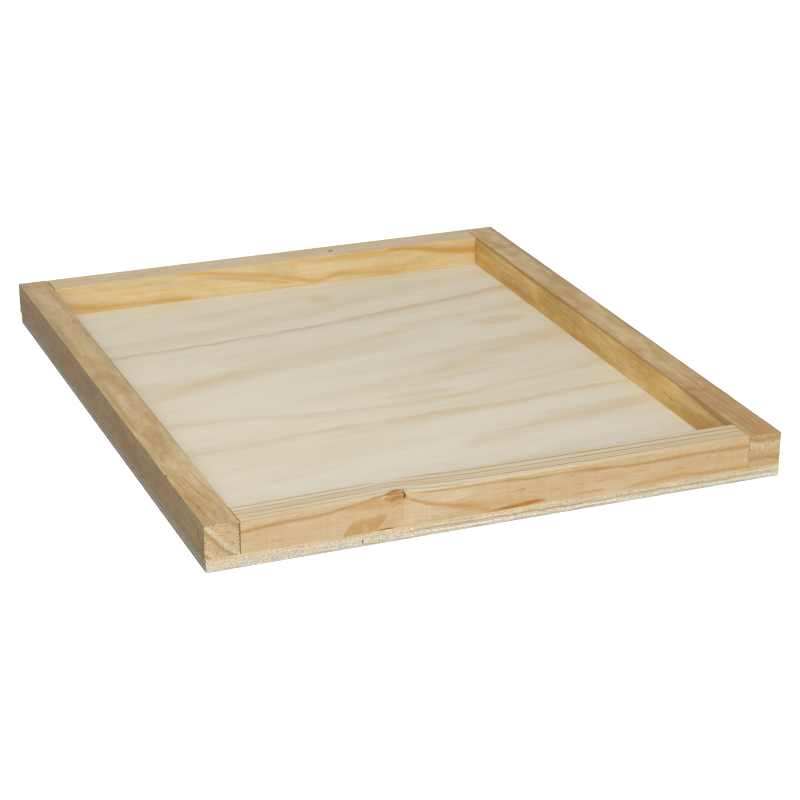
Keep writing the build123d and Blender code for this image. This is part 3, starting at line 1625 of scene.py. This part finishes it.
def right_pine() -> PineFinish:
    """The right rail's wood: tan above, amber inside, with wide rings lying flat.

    Returns:
        Its finish.
    """
    # colour of the bruises, partly painted shade in their dents
    bruise_and_shade = (104, 70, 34)
    end_to_end = 2000
    top_marks = (
        *(
            Streak(
                ((start, aside, 1.6), (start + 28, aside + 1, 2.4), (start + 60, aside, 1.6)),
                (136, 96, 48), 0.5, core=0.2, fade=12,
            )
            for start, aside in (
                (-250, 194.5), (-246, 199.5), (-235, 204.5), (-252, 209), (-185, 197), (-160, 202.5),
            )
        ),
        # the browner front end and strips along the arrises
        Streak(((-250, 203, 64), (-200, 203, 60), (-170, 203, 50)), (160, 118, 62), 0.5, core=0, fade=30),
        Streak(((-195, 193, 11), (-155, 193, 11), (-120, 193, 9)), (156, 112, 60), 0.5, core=0, fade=15),
        Streak(((-60, 209, 5), (0, 205, 6), (50, 200, 5)), (170, 134, 78), 0.25, core=0.2, fade=20),
        Streak(((-25, 213, 10), (15, 213, 10)), (154, 128, 92), 0.6, core=0, fade=15),
        Streak(((140, 213, 9), (190, 213, 11), (250, 213, 11)), (152, 128, 98), 0.6, core=0, fade=25),
        Spot((202, -160, 34), (5, 4, 3), (144, 104, 56), 0.4),
        Spot((193.5, -155, 34), (4.5, 4.5, 3), (144, 104, 56), 0.45),
        Spot((203, 195, 34), (13, 5, 3), (152, 118, 74), 0.4, soft=0.9),
    )
    side_marks = (
        # the dark upper edge, amber at the back, brown at the front, partly painted shade against the lamps'
        # highlight on the arris
        Streak(
            ((-225, 33.8, 5), (-60, 33.8, 4), (40, 33.4, 5), (100, 33, 6), (160, 33.4, 6), (226, 33.6, 5)),
            (150, 108, 52), 0.7, core=0.1, fade=20,
        ),
        Streak(((95, 13.5, 6), (125, 15, 7), (150, 13.5, 6)), (178, 130, 62), 0.45, core=0.2, fade=15),
        Streak(((195, 27, 11), (226, 27, 13)), (196, 140, 54), 0.6, core=0.1, fade=20),
        Streak(((200, 16.5, 8), (226, 16.5, 9)), (196, 134, 40), 0.6, core=0.1, fade=20),
        Streak(((-225, 20, 44), (-170, 20, 40)), (168, 128, 64), 0.25, core=0, fade=30),
        Streak(((-225, 30, 9), (-190, 31, 8), (-165, 32, 6)), (146, 110, 54), 0.75, core=0.1, fade=30),
    )
    # the bruised inner arris, partly painted shade in its dents and along it, a painted shade that greys the
    # outer arris, and the foot of the front end
    spots = (
        *(
            Spot((190, along, 33.8), (0.9, length, 0.8), bruise_and_shade, 0.45)
            for along, length in ((162, 3), (110, 3.4), (84, 2.6), (58, 3), (41, 2.4), (-7, 3))
        ),
        Spot((189.5, 0, 34), (1.7, end_to_end, 1.4), (148, 110, 58), 0.35),
        Spot((215, 0, 34), (2.2, end_to_end, 1.6), (132, 110, 84), 0.6),
        Spot((203, -250, 10.5), (18, 6, 3.6), (202, 168, 114), 0.6, soft=0.8),
    )
    return PineFinish(
        name="pine_right", grain=Grain.ALONG_Y, seed=920,
        rings=GrowthRings(
            slope=(-0.06, 0, -1), edges=(-56.6, -40.6, -25.6, -9.6, 6.4), latewood=0.35, drift=1.4,
            fray=0.9,
        ),
        top=Planed(
            pale=(200, 174, 130), warm=(173, 141, 91), rings=0, figure=1.3, mottle=0.045, dashes=0.8,
            blotch=0.45, marks=top_marks,
        ),
        face=Side.LEFT,
        # the inner face's bright amber is partly painted light, standing in for light thrown back by the
        # panel
        side=Planed(
            pale=(219, 190, 129), warm=(190, 151, 82), rings=0, figure=2.5, mottle=0.05, dashes=0.9,
            marks=side_marks,
        ),
        ends=Sawn(pale=(215, 194, 153), tan=(206, 178, 130), late=(186, 151, 101)), spots=spots,
    )


def front_pine() -> PineFinish:
    """The front rail's wood: flat-sawn at the front, edge-grained above, with a knot on the upper arris.

    Returns:
        Its finish.
    """
    brown = (187, 145, 88)
    tan = (201, 159, 100)
    bark = (120, 76, 28)
    knot_edge = (
        (-97, -249.6), (-91, -248.6), (-86, -246.8), (-81, -243.9), (-77.5, -243.3), (-74.4, -244.3),
    )
    # the heart's upper copy is darker than its front copy: painted shade against the brighter light on the
    # top face
    heart_above = Spot((-80.5, -249, 34), (6.6, 5, 3), (170, 112, 48), 0.85)
    heart_front = Spot((-80.5, -250, 33), (7, 3, 3.4), (186, 132, 72), 0.75)
    top_marks = (
        Streak(((120, -238, 40), (190, -238, 40)), (192, 164, 116), 0.3, core=0, fade=40),
        Streak(
            ((-190, -238.7, 7), (-105, -236.1, 7), (-79, -233.9, 7), (-50, -237.6, 8), (-20, -240.1, 8),
             (190, -242.1, 8)),
            (194, 170, 130), 0.4, core=0,
        ),
        Streak(((145, -248.5, 5), (190, -248, 8)), (200, 160, 100), 0.5, core=0, fade=25),
        # the knot and the bark round it
        heart_above,
        Streak(
            tuple((along, edge + 0.6, 6) for along, edge in knot_edge),
            (176, 128, 60), 0.6, core=0, fade=5,
        ),
        Streak(tuple((along, edge, 3.4) for along, edge in knot_edge), bark, 0.75, core=0.2, fade=5),
        Streak(tuple((along, edge, 3) for along, edge in knot_edge[3:]), bark, 0.7, core=0.3, fade=2.5),
    )
    side_marks = (
        # pale and tan washes
        Streak(((-190, 32, 12), (-160, 32.5, 9), (-120, 33.5, 5)), (224, 203, 170), 0.36, core=0, fade=12),
        Streak(
            ((-76, 15, 20), (-62, 20, 40), (-45, 23, 34), (-32, 26, 16)),
            (226, 206, 174), 0.45, core=0, fade=14,
        ),
        Streak(((-94, 16, 26), (-84, 16.5, 30), (-76, 18, 18)), (206, 166, 108), 0.4, core=0, fade=8),
        Streak(((140, 20, 44), (190, 20, 44)), (206, 170, 112), 0.35, core=0, fade=30),
        # the band that climbs to the knot, and the knot
        Streak(
            ((-189, 25.4, 5.5), (-172, 27.1, 5.5), (-158, 27.7, 5.5), (-141, 28, 5.5), (-129, 28.6, 5),
             (-121, 30, 5), (-109, 31.4, 5), (-101, 32.9, 5), (-94, 33.7, 4.5)),
            brown, 0.9, core=0.35,
        ),
        Streak(
            ((-112, 29.6, 7), (-102, 30, 11), (-92, 29.6, 14), (-80, 29.6, 13)),
            tan, 0.7, core=0, fade=12,
        ),
        heart_front,
        Spot((-88, -250, 32), (1.8, 3, 1.2), (156, 110, 52), 0.4, soft=0.95),
        Spot((-83.5, -250, 30.2), (2.8, 3, 1.2), (160, 114, 54), 0.45, soft=0.95),
        Spot((-79, -250, 32.4), (4, 3, 1.1), (160, 104, 58), 0.45, soft=0.95),
        Streak(((-82, 26.2, 3.6), (-78, 28.6, 4), (-75, 30.6, 3.6)), (165, 124, 74), 0.3, core=0.1, fade=4),
        # the brown patch below the knot
        Streak(
            ((-117.5, 10.4, 4), (-114.5, 12.8, 14), (-110, 14.2, 19), (-104, 14.8, 20), (-97, 15.4, 20),
             (-92.5, 17.4, 16), (-88.5, 19, 9)),
            (194, 149, 86), 0.8, core=0, fade=1.5, soft=0.6,
        ),
        Spot((-103, -250, 12.5), (2.2, 3, 3.2), (214, 186, 142), 0.45, soft=0.8),
        # the band that falls away from the knot to the pocket of resin
        Streak(
            ((-73.5, 30.3, 3.5), (-65.6, 27.1, 4.5), (-57.8, 24, 5.5), (-51, 22, 6.5), (-43.3, 20.3, 8),
             (-35.6, 18.5, 9), (-27.8, 16.6, 9.5), (-21, 14.2, 9), (-14.4, 11.6, 8)),
            (192, 148, 86), 0.9, above=0.55, core=0.3, fade=6,
        ),
        Streak(
            ((-28, 16.5, 10), (-8, 15.5, 13), (10, 14.5, 12), (24, 13, 8)),
            (206, 163, 104), 0.6, core=0, fade=10,
        ),
        Streak(
            ((-9, 10.2, 3), (2, 10.8, 5.5), (12, 11.4, 6.5), (22, 12, 6), (28.5, 12.2, 3)),
            (190, 132, 60), 0.85, core=0, fade=3, soft=0.7,
        ),
        Streak(((-3, 10.7, 2.8), (4, 11, 3.2), (9, 11.2, 2.2)), (158, 100, 42), 0.6, core=0.2, fade=3),
        Streak(((13, 11.6, 2.6), (18, 12, 3.4), (24, 12.2, 2.6)), (152, 92, 34), 0.7, core=0.2, fade=3),
        # bands and flecks towards the right end
        Streak(
            ((-65, 33.7, 3.4), (-50.7, 32.3, 3.6), (-36, 31.6, 3.6), (0, 31.3, 3.6), (21, 30, 4),
             (37, 29.7, 4), (54, 29.5, 4.5), (66, 29, 4.5)),
            (180, 138, 82), 0.7, core=0.4, fade=14,
        ),
        Streak(
            ((66, 29, 4), (76, 28.5, 3.6), (88, 27.6, 3.6), (100, 27, 4), (112, 27.2, 4.5), (122, 27.6, 5),
             (134, 27.6, 5.5), (157, 27.4, 5.5), (188.6, 27.1, 5.5)),
            (187, 143, 82), 0.9, core=0.35, fade=10,
        ),
        Streak(((54, 12.3, 5), (62, 12.3, 5.5), (70, 12.3, 5)), tan, 0.8, core=0.2, fade=8),
        Streak(
            ((98.6, 11.1, 4.5), (108.6, 12.1, 6), (125.7, 12.6, 6.5), (131, 13.2, 6.5), (150, 11.7, 6.5),
             (185.7, 11.4, 6.5)),
            (204, 157, 86), 0.9, core=0.2, fade=12,
        ),
        Streak(((154.5, 23.2, 1.6), (157, 23.2, 1.6)), DASH, 0.4, core=0, fade=2),
        Spot((165.7, -250, 23.4), (0.7, 1, 0.5), DASH, 0.5),
    )
    # painted shade along the upper arris against the lamps' highlight there, and in the crack beside the knot
    # and in the chip in the lower edge
    spots = (
        Spot((-150, -250, 34), (64, 1.5, 1.5), (150, 122, 84), 0.25),
        Spot((160, -250, 34), (80, 1.5, 1.5), (150, 122, 84), 0.14),
        Spot((-74.7, -248.5, 32.5), (0.9, 4, 2.2), (110, 64, 32), 0.85),
        Spot((-87.5, -250, 9.8), (5.5, 1.5, 0.9), (112, 82, 36), 0.85),
    )
    return PineFinish(
        name="pine_front", grain=Grain.ALONG_X, seed=40,
        rings=GrowthRings(
            slope=(0, -1, 0.25), edges=(227.5, 234, 238.9, 244.1, 247, 250, 255.9, 262),
            strengths=(0.5, 0.9, 0.9, 0.7, 1, 0.45, 0.2, 0.2), latewood=0.36, edge=0.12, pivot=244.1,
            drift=0.25, fray=0.16,
            bends=(
                (-190, 0.2, 1, 0.85), (-175, 0, 1, 0.85), (-150, -0.7, 1, 0.85), (-125, -1.7, 1, 0.85),
                (-105, -2.4, 1, 0.8), (-90, -3.8, 1, 0.75), (-79, -4.6, 1, 0.75), (-66, -3.2, 1.1, 0.8),
                (-50, -1.3, 1.22, 0.8), (-20, 1, 1.22, 0.85), (60, 2.5, 1.22, 0.95), (140, 3, 1.22, 1.05),
                (190, 3, 1.22, 1.05),
            ),
        ),
        top=Planed(
            pale=(209, 195, 167), warm=(201, 182, 149), late=(116, 89, 56), figure=0.6, mottle=0.02,
            dashes=0.3, marks=top_marks,
        ),
        face=Side.FRONT,
        side=Planed(
            pale=(216, 191, 152), warm=(207, 176, 130), rings=0, figure=0.8, mottle=0.035, dashes=0.5,
            knife=0.028, marks=side_marks,
        ),
        ends=Sawn(), spots=spots,
    )


def back_pine() -> PineFinish:
    """The back rail's wood: golden, with slow slanting bands on its inner face.

    Returns:
        Its finish.
    """
    gold = (190, 148, 76)
    side_marks = (
        Streak(
            ((-175, 15, 13), (-152, 12.8, 11), (-115, 12, 9), (-82, 11.5, 7)),
            gold, 0.85, core=0.2, fade=20,
        ),
        Streak(
            ((-80, 34, 7), (-55, 31, 8), (-30, 26, 9), (-5, 22.7, 9), (10, 19, 9), (25, 16, 9),
             (40, 12.7, 8), (50, 14, 8), (60, 16, 8), (85, 14, 7), (110, 12, 6)),
            (194, 154, 88), 0.85, core=0.3, fade=15,
        ),
        Streak(((-60, 27.5, 4), (-35, 23, 4.5), (-10, 18.5, 5), (8, 15, 4)), gold, 0.6, core=0.3, fade=15),
        Streak(
            ((25, 32.7, 7), (60, 31, 10), (90, 31, 10), (115, 32.4, 8)),
            (198, 156, 84), 0.5, core=0.1, fade=15,
        ),
        Streak(
            ((112, 32.4, 7), (130, 31, 10), (150, 27.6, 13), (170, 24.6, 15), (190, 22.9, 16)),
            (188, 140, 62), 0.85, core=0.3, fade=12,
        ),
    )
    return PineFinish(
        name="pine_back", grain=Grain.ALONG_X, seed=555,
        rings=GrowthRings(
            slope=(0, 1, 0.2), edges=tuple(222.8 + 6.2 * year for year in range(8)), latewood=0.5,
            edge=0.25, drift=0.8, fray=0.3,
        ),
        top=Planed(
            pale=(206, 188, 156), warm=(195, 172, 134), late=(164, 136, 98), rings=0.33, figure=0.4,
            mottle=0.03, dashes=0.2,
        ),
        face=Side.FRONT,
        side=Planed(
            pale=(211, 190, 147), warm=(196, 168, 113), rings=0, figure=1.1, mottle=0.04, dashes=0.35,
            marks=side_marks,
        ),
        ends=Sawn(),
        spots=(Spot((56.7, 237.5, 34), (2.2, 1.7, 6), (92, 58, 34), 0.9),),
    )


def top_face() -> VeneerFinish:
    """The panel's upper face, with the bands that its veneer shows.

    Returns:
        Its finish.
    """
    tan = (198, 170, 118)
    marks = (
        Streak(((-190, -175, 150), (190, -175, 150)), (226, 222, 208), 0.35, core=0),
        Streak(((100, 145, 90), (190, 150, 90)), (222, 213, 192), 0.35, core=0, fade=50),
        Streak(
            ((-170, 118, 12), (-83, 123, 13), (-5, 130, 16), (55, 138, 20), (90, 144, 22), (140, 152, 22),
             (190, 165, 22)),
            (178, 146, 96), 0.42, above=0.3, core=0.6, fade=30,
        ),
        Streak(
            ((-170, 18, 34), (-115, 45, 34), (-70, 63, 34), (-15, 75, 30), (25, 85, 28), (60, 94, 26)),
            tan, 0.26, core=0.5, fade=30,
        ),
        Streak(((75, 105, 24), (130, 115, 27), (190, 123, 27)), tan, 0.3, above=0.3, core=0.5, fade=25),
        Streak(((70, 8, 44), (90, 15, 50), (130, 30, 52), (190, 43, 52)), tan, 0.36, core=0.3, fade=30),
        Streak(
            ((-170, -30, 22), (-115, -35, 22), (-70, -47, 20), (25, -50, 22), (90, -42, 22), (140, -35, 24),
             (190, -25, 24)),
            tan, 0.32, core=0.5, fade=30,
        ),
        Streak(
            ((-145, -85, 18), (-70, -80, 18), (10, -77, 19), (80, -75, 19), (130, -70, 18), (190, -67, 18)),
            tan, 0.42, above=0.3, core=0.6, fade=30,
        ),
        Streak(
            ((35, -135, 38), (90, -122, 42), (150, -112, 40), (185, -105, 38)),
            tan, 0.32, core=0.45, fade=30,
        ),
        Spot((30, 188, 9.5), (11, 10, 9), tan, 0.33, soft=0.9),
        Spot((-70, 180, 9.5), (26, 9, 9), tan, 0.2, soft=0.95),
        Spot((150, 90, 9.5), (26, 9, 9), tan, 0.38, soft=0.95),
        Spot((25, -35, 9.5), (28, 6, 9), tan, 0.3, soft=0.95),
    )
    return VeneerFinish(
        name="ply_top", seed=12, pale=(216, 209, 189), warm=(204, 190, 158), edge=(238, 219, 178),
        edge_dark=(194, 162, 113), end_grain_and_shade=(176, 152, 102), marks=marks,
    )


def core_sheet() -> CoreFinish:
    """The panel's core: pale end grain, greyer in its upper half, with a few brown rings.

    Returns:
        Its finish.
    """
    ring = (178, 146, 104)
    rings = (
        Streak(((-215, 4.7, 12), (-130, 4.7, 12)), (206, 194, 172), 0.45, core=0, fade=30),
        Streak(((-40, 2.9, 3), (215, 2.9, 3)), (240, 233, 212), 0.5, core=0, fade=30),
        Streak(((-60, 5.2, 4.4), (30, 4.9, 4.4), (215, 4.7, 4.4)), (194, 176, 142), 0.6, core=0, fade=30),
        Streak(((-68, 5.4, 2.2), (-45, 5.6, 2.4), (-23, 5.4, 2.2)), ring, 0.6, core=0.2, fade=8),
        Streak(((-6, 5.2, 2.2), (30, 5, 2.6), (68, 4.8, 2.2)), ring, 0.65, core=0.2, fade=10),
        Streak(((77, 4.8, 2.2), (110, 4.9, 2.4), (185, 4.6, 2.2)), ring, 0.55, core=0.2, fade=10),
        # painted shade in the gap between the core's two strips, over the hollow cut there
        Spot((-104.7, -250, 3.6), (0.7, 3, 1.5), (58, 44, 30), 0.9, soft=0.4),
    )
    return CoreFinish(
        name="ply_core", seed=3, pale=(232, 222, 199), warm=(214, 198, 167), dark=(148, 122, 86),
        rings=rings,
        seams=(Streak(((-250, 5, 2.4), (0, 4.8, 2.4), (250, 5.1, 2.4)), (116, 104, 84), 0.7, core=0.2),),
    )


def bottom_face() -> VeneerFinish:
    """The panel's lower face, of the same timber with its own slow bands.

    Returns:
        Its finish.
    """
    tan = (192, 162, 112)
    marks = (
        Streak(
            ((-200, 150, 28), (-60, 168, 26), (80, 160, 26), (200, 142, 30)),
            tan, 0.55, core=0.3, fade=30,
        ),
        Streak(((-200, 40, 18), (-70, 62, 16), (60, 70, 17), (200, 58, 20)), tan, 0.6, above=0.3, fade=30),
        Streak(
            ((-200, -60, 38), (-50, -40, 34), (90, -52, 34), (200, -76, 40)),
            tan, 0.5, core=0.3, fade=30,
        ),
        Streak(((-200, -150, 16), (0, -162, 16), (200, -148, 18)), tan, 0.6, above=0.3, fade=30),
        Spot((-90, 100, 0), (16, 11, 9), tan, 0.45, soft=0.9),
        Spot((110, -110, 0), (24, 9, 9), tan, 0.45, soft=0.95),
    )
    return VeneerFinish(
        name="ply_bottom", seed=400, pale=(218, 207, 182), warm=(202, 183, 144), edge=(234, 226, 207),
        edge_dark=(182, 168, 142), end_grain_and_shade=(128, 116, 95), marks=marks,
    )


@dataclass
class Joinery:
    """A sub-assembly of boards.

    Attributes:
        boards: its pieces of wood, in the order that they are built.
    """

    boards: tuple[Board, ...] = ()

    def build(self, staples: Staples) -> None:
        """Model and dress the boards, with the slots of their staples."""
        for board in self.boards:
            board.build(staples)


@dataclass
class Panel(Joinery):
    """The three-ply panel that closes the cover."""

    def __post_init__(self) -> None:
        """List the three sheets from the top down."""
        gap = Flaw(centre=(-104.7, -250.0, 3.6), radii=(0.6, 2.2, 1.4))
        self.boards = (
            Veneer("panel_top_veneer", top_face(), "plywood_face", shown=Side.ABOVE),
            Veneer("panel_core_veneer", core_sheet(), "plywood_core", (gap,), grain=Grain.ALONG_Y),
            Veneer("panel_bottom_veneer", bottom_face(), "plywood_face", shown=Side.BELOW),
        )


@dataclass
class Rim(Joinery):
    """The four rails on the panel."""

    def __post_init__(self) -> None:
        """List the left, right, front and back rails."""
        slot = "pine_rail"
        nick = Flaw(centre=(-215.0, -165.0, 34.0), radii=(0.9, 1.9, 0.8))
        chips = tuple(
            Flaw(centre=(-190.3, along, 34.1), radii=(0.7, 3.0, 0.6)) for along in (17.0, -93.0, -118.0)
        )
        bruises = tuple(
            Flaw(centre=(189.5, along, 34.0), radii=(0.6, 2.6, 0.5)) for along in (162.0, 110.0, 58.0, -7.0)
        )
        crack = Flaw(centre=(-74.7, -249.0, 33.0), radii=(0.4, 3.6, 2.0))
        chip = Flaw(centre=(-87.5, -250.2, 9.4), radii=(5.0, 0.8, 0.7))
        pin_knot = Flaw(centre=(56.7, 237.5, 34.0), radii=(1.2, 1.0, 0.4))
        self.boards = (
            Rail("left_rail", left_pine(), slot, (nick, *chips)),
            Rail("right_rail", right_pine(), slot, bruises),
            Rail("front_rail", front_pine(), slot, (crack, chip), closing=0.25),
            Rail("back_rail", back_pine(), slot, (pin_knot,)),
        )


def main() -> None:
    """Build the cover, then the studio round it."""
    logging.basicConfig(level=logging.INFO, format="%(message)s")
    staples = Staples()
    Panel().build(staples)
    Rim().build(staples)
    staples.dress()
    Studio().set_up()


if __name__ == "__main__":
    main()
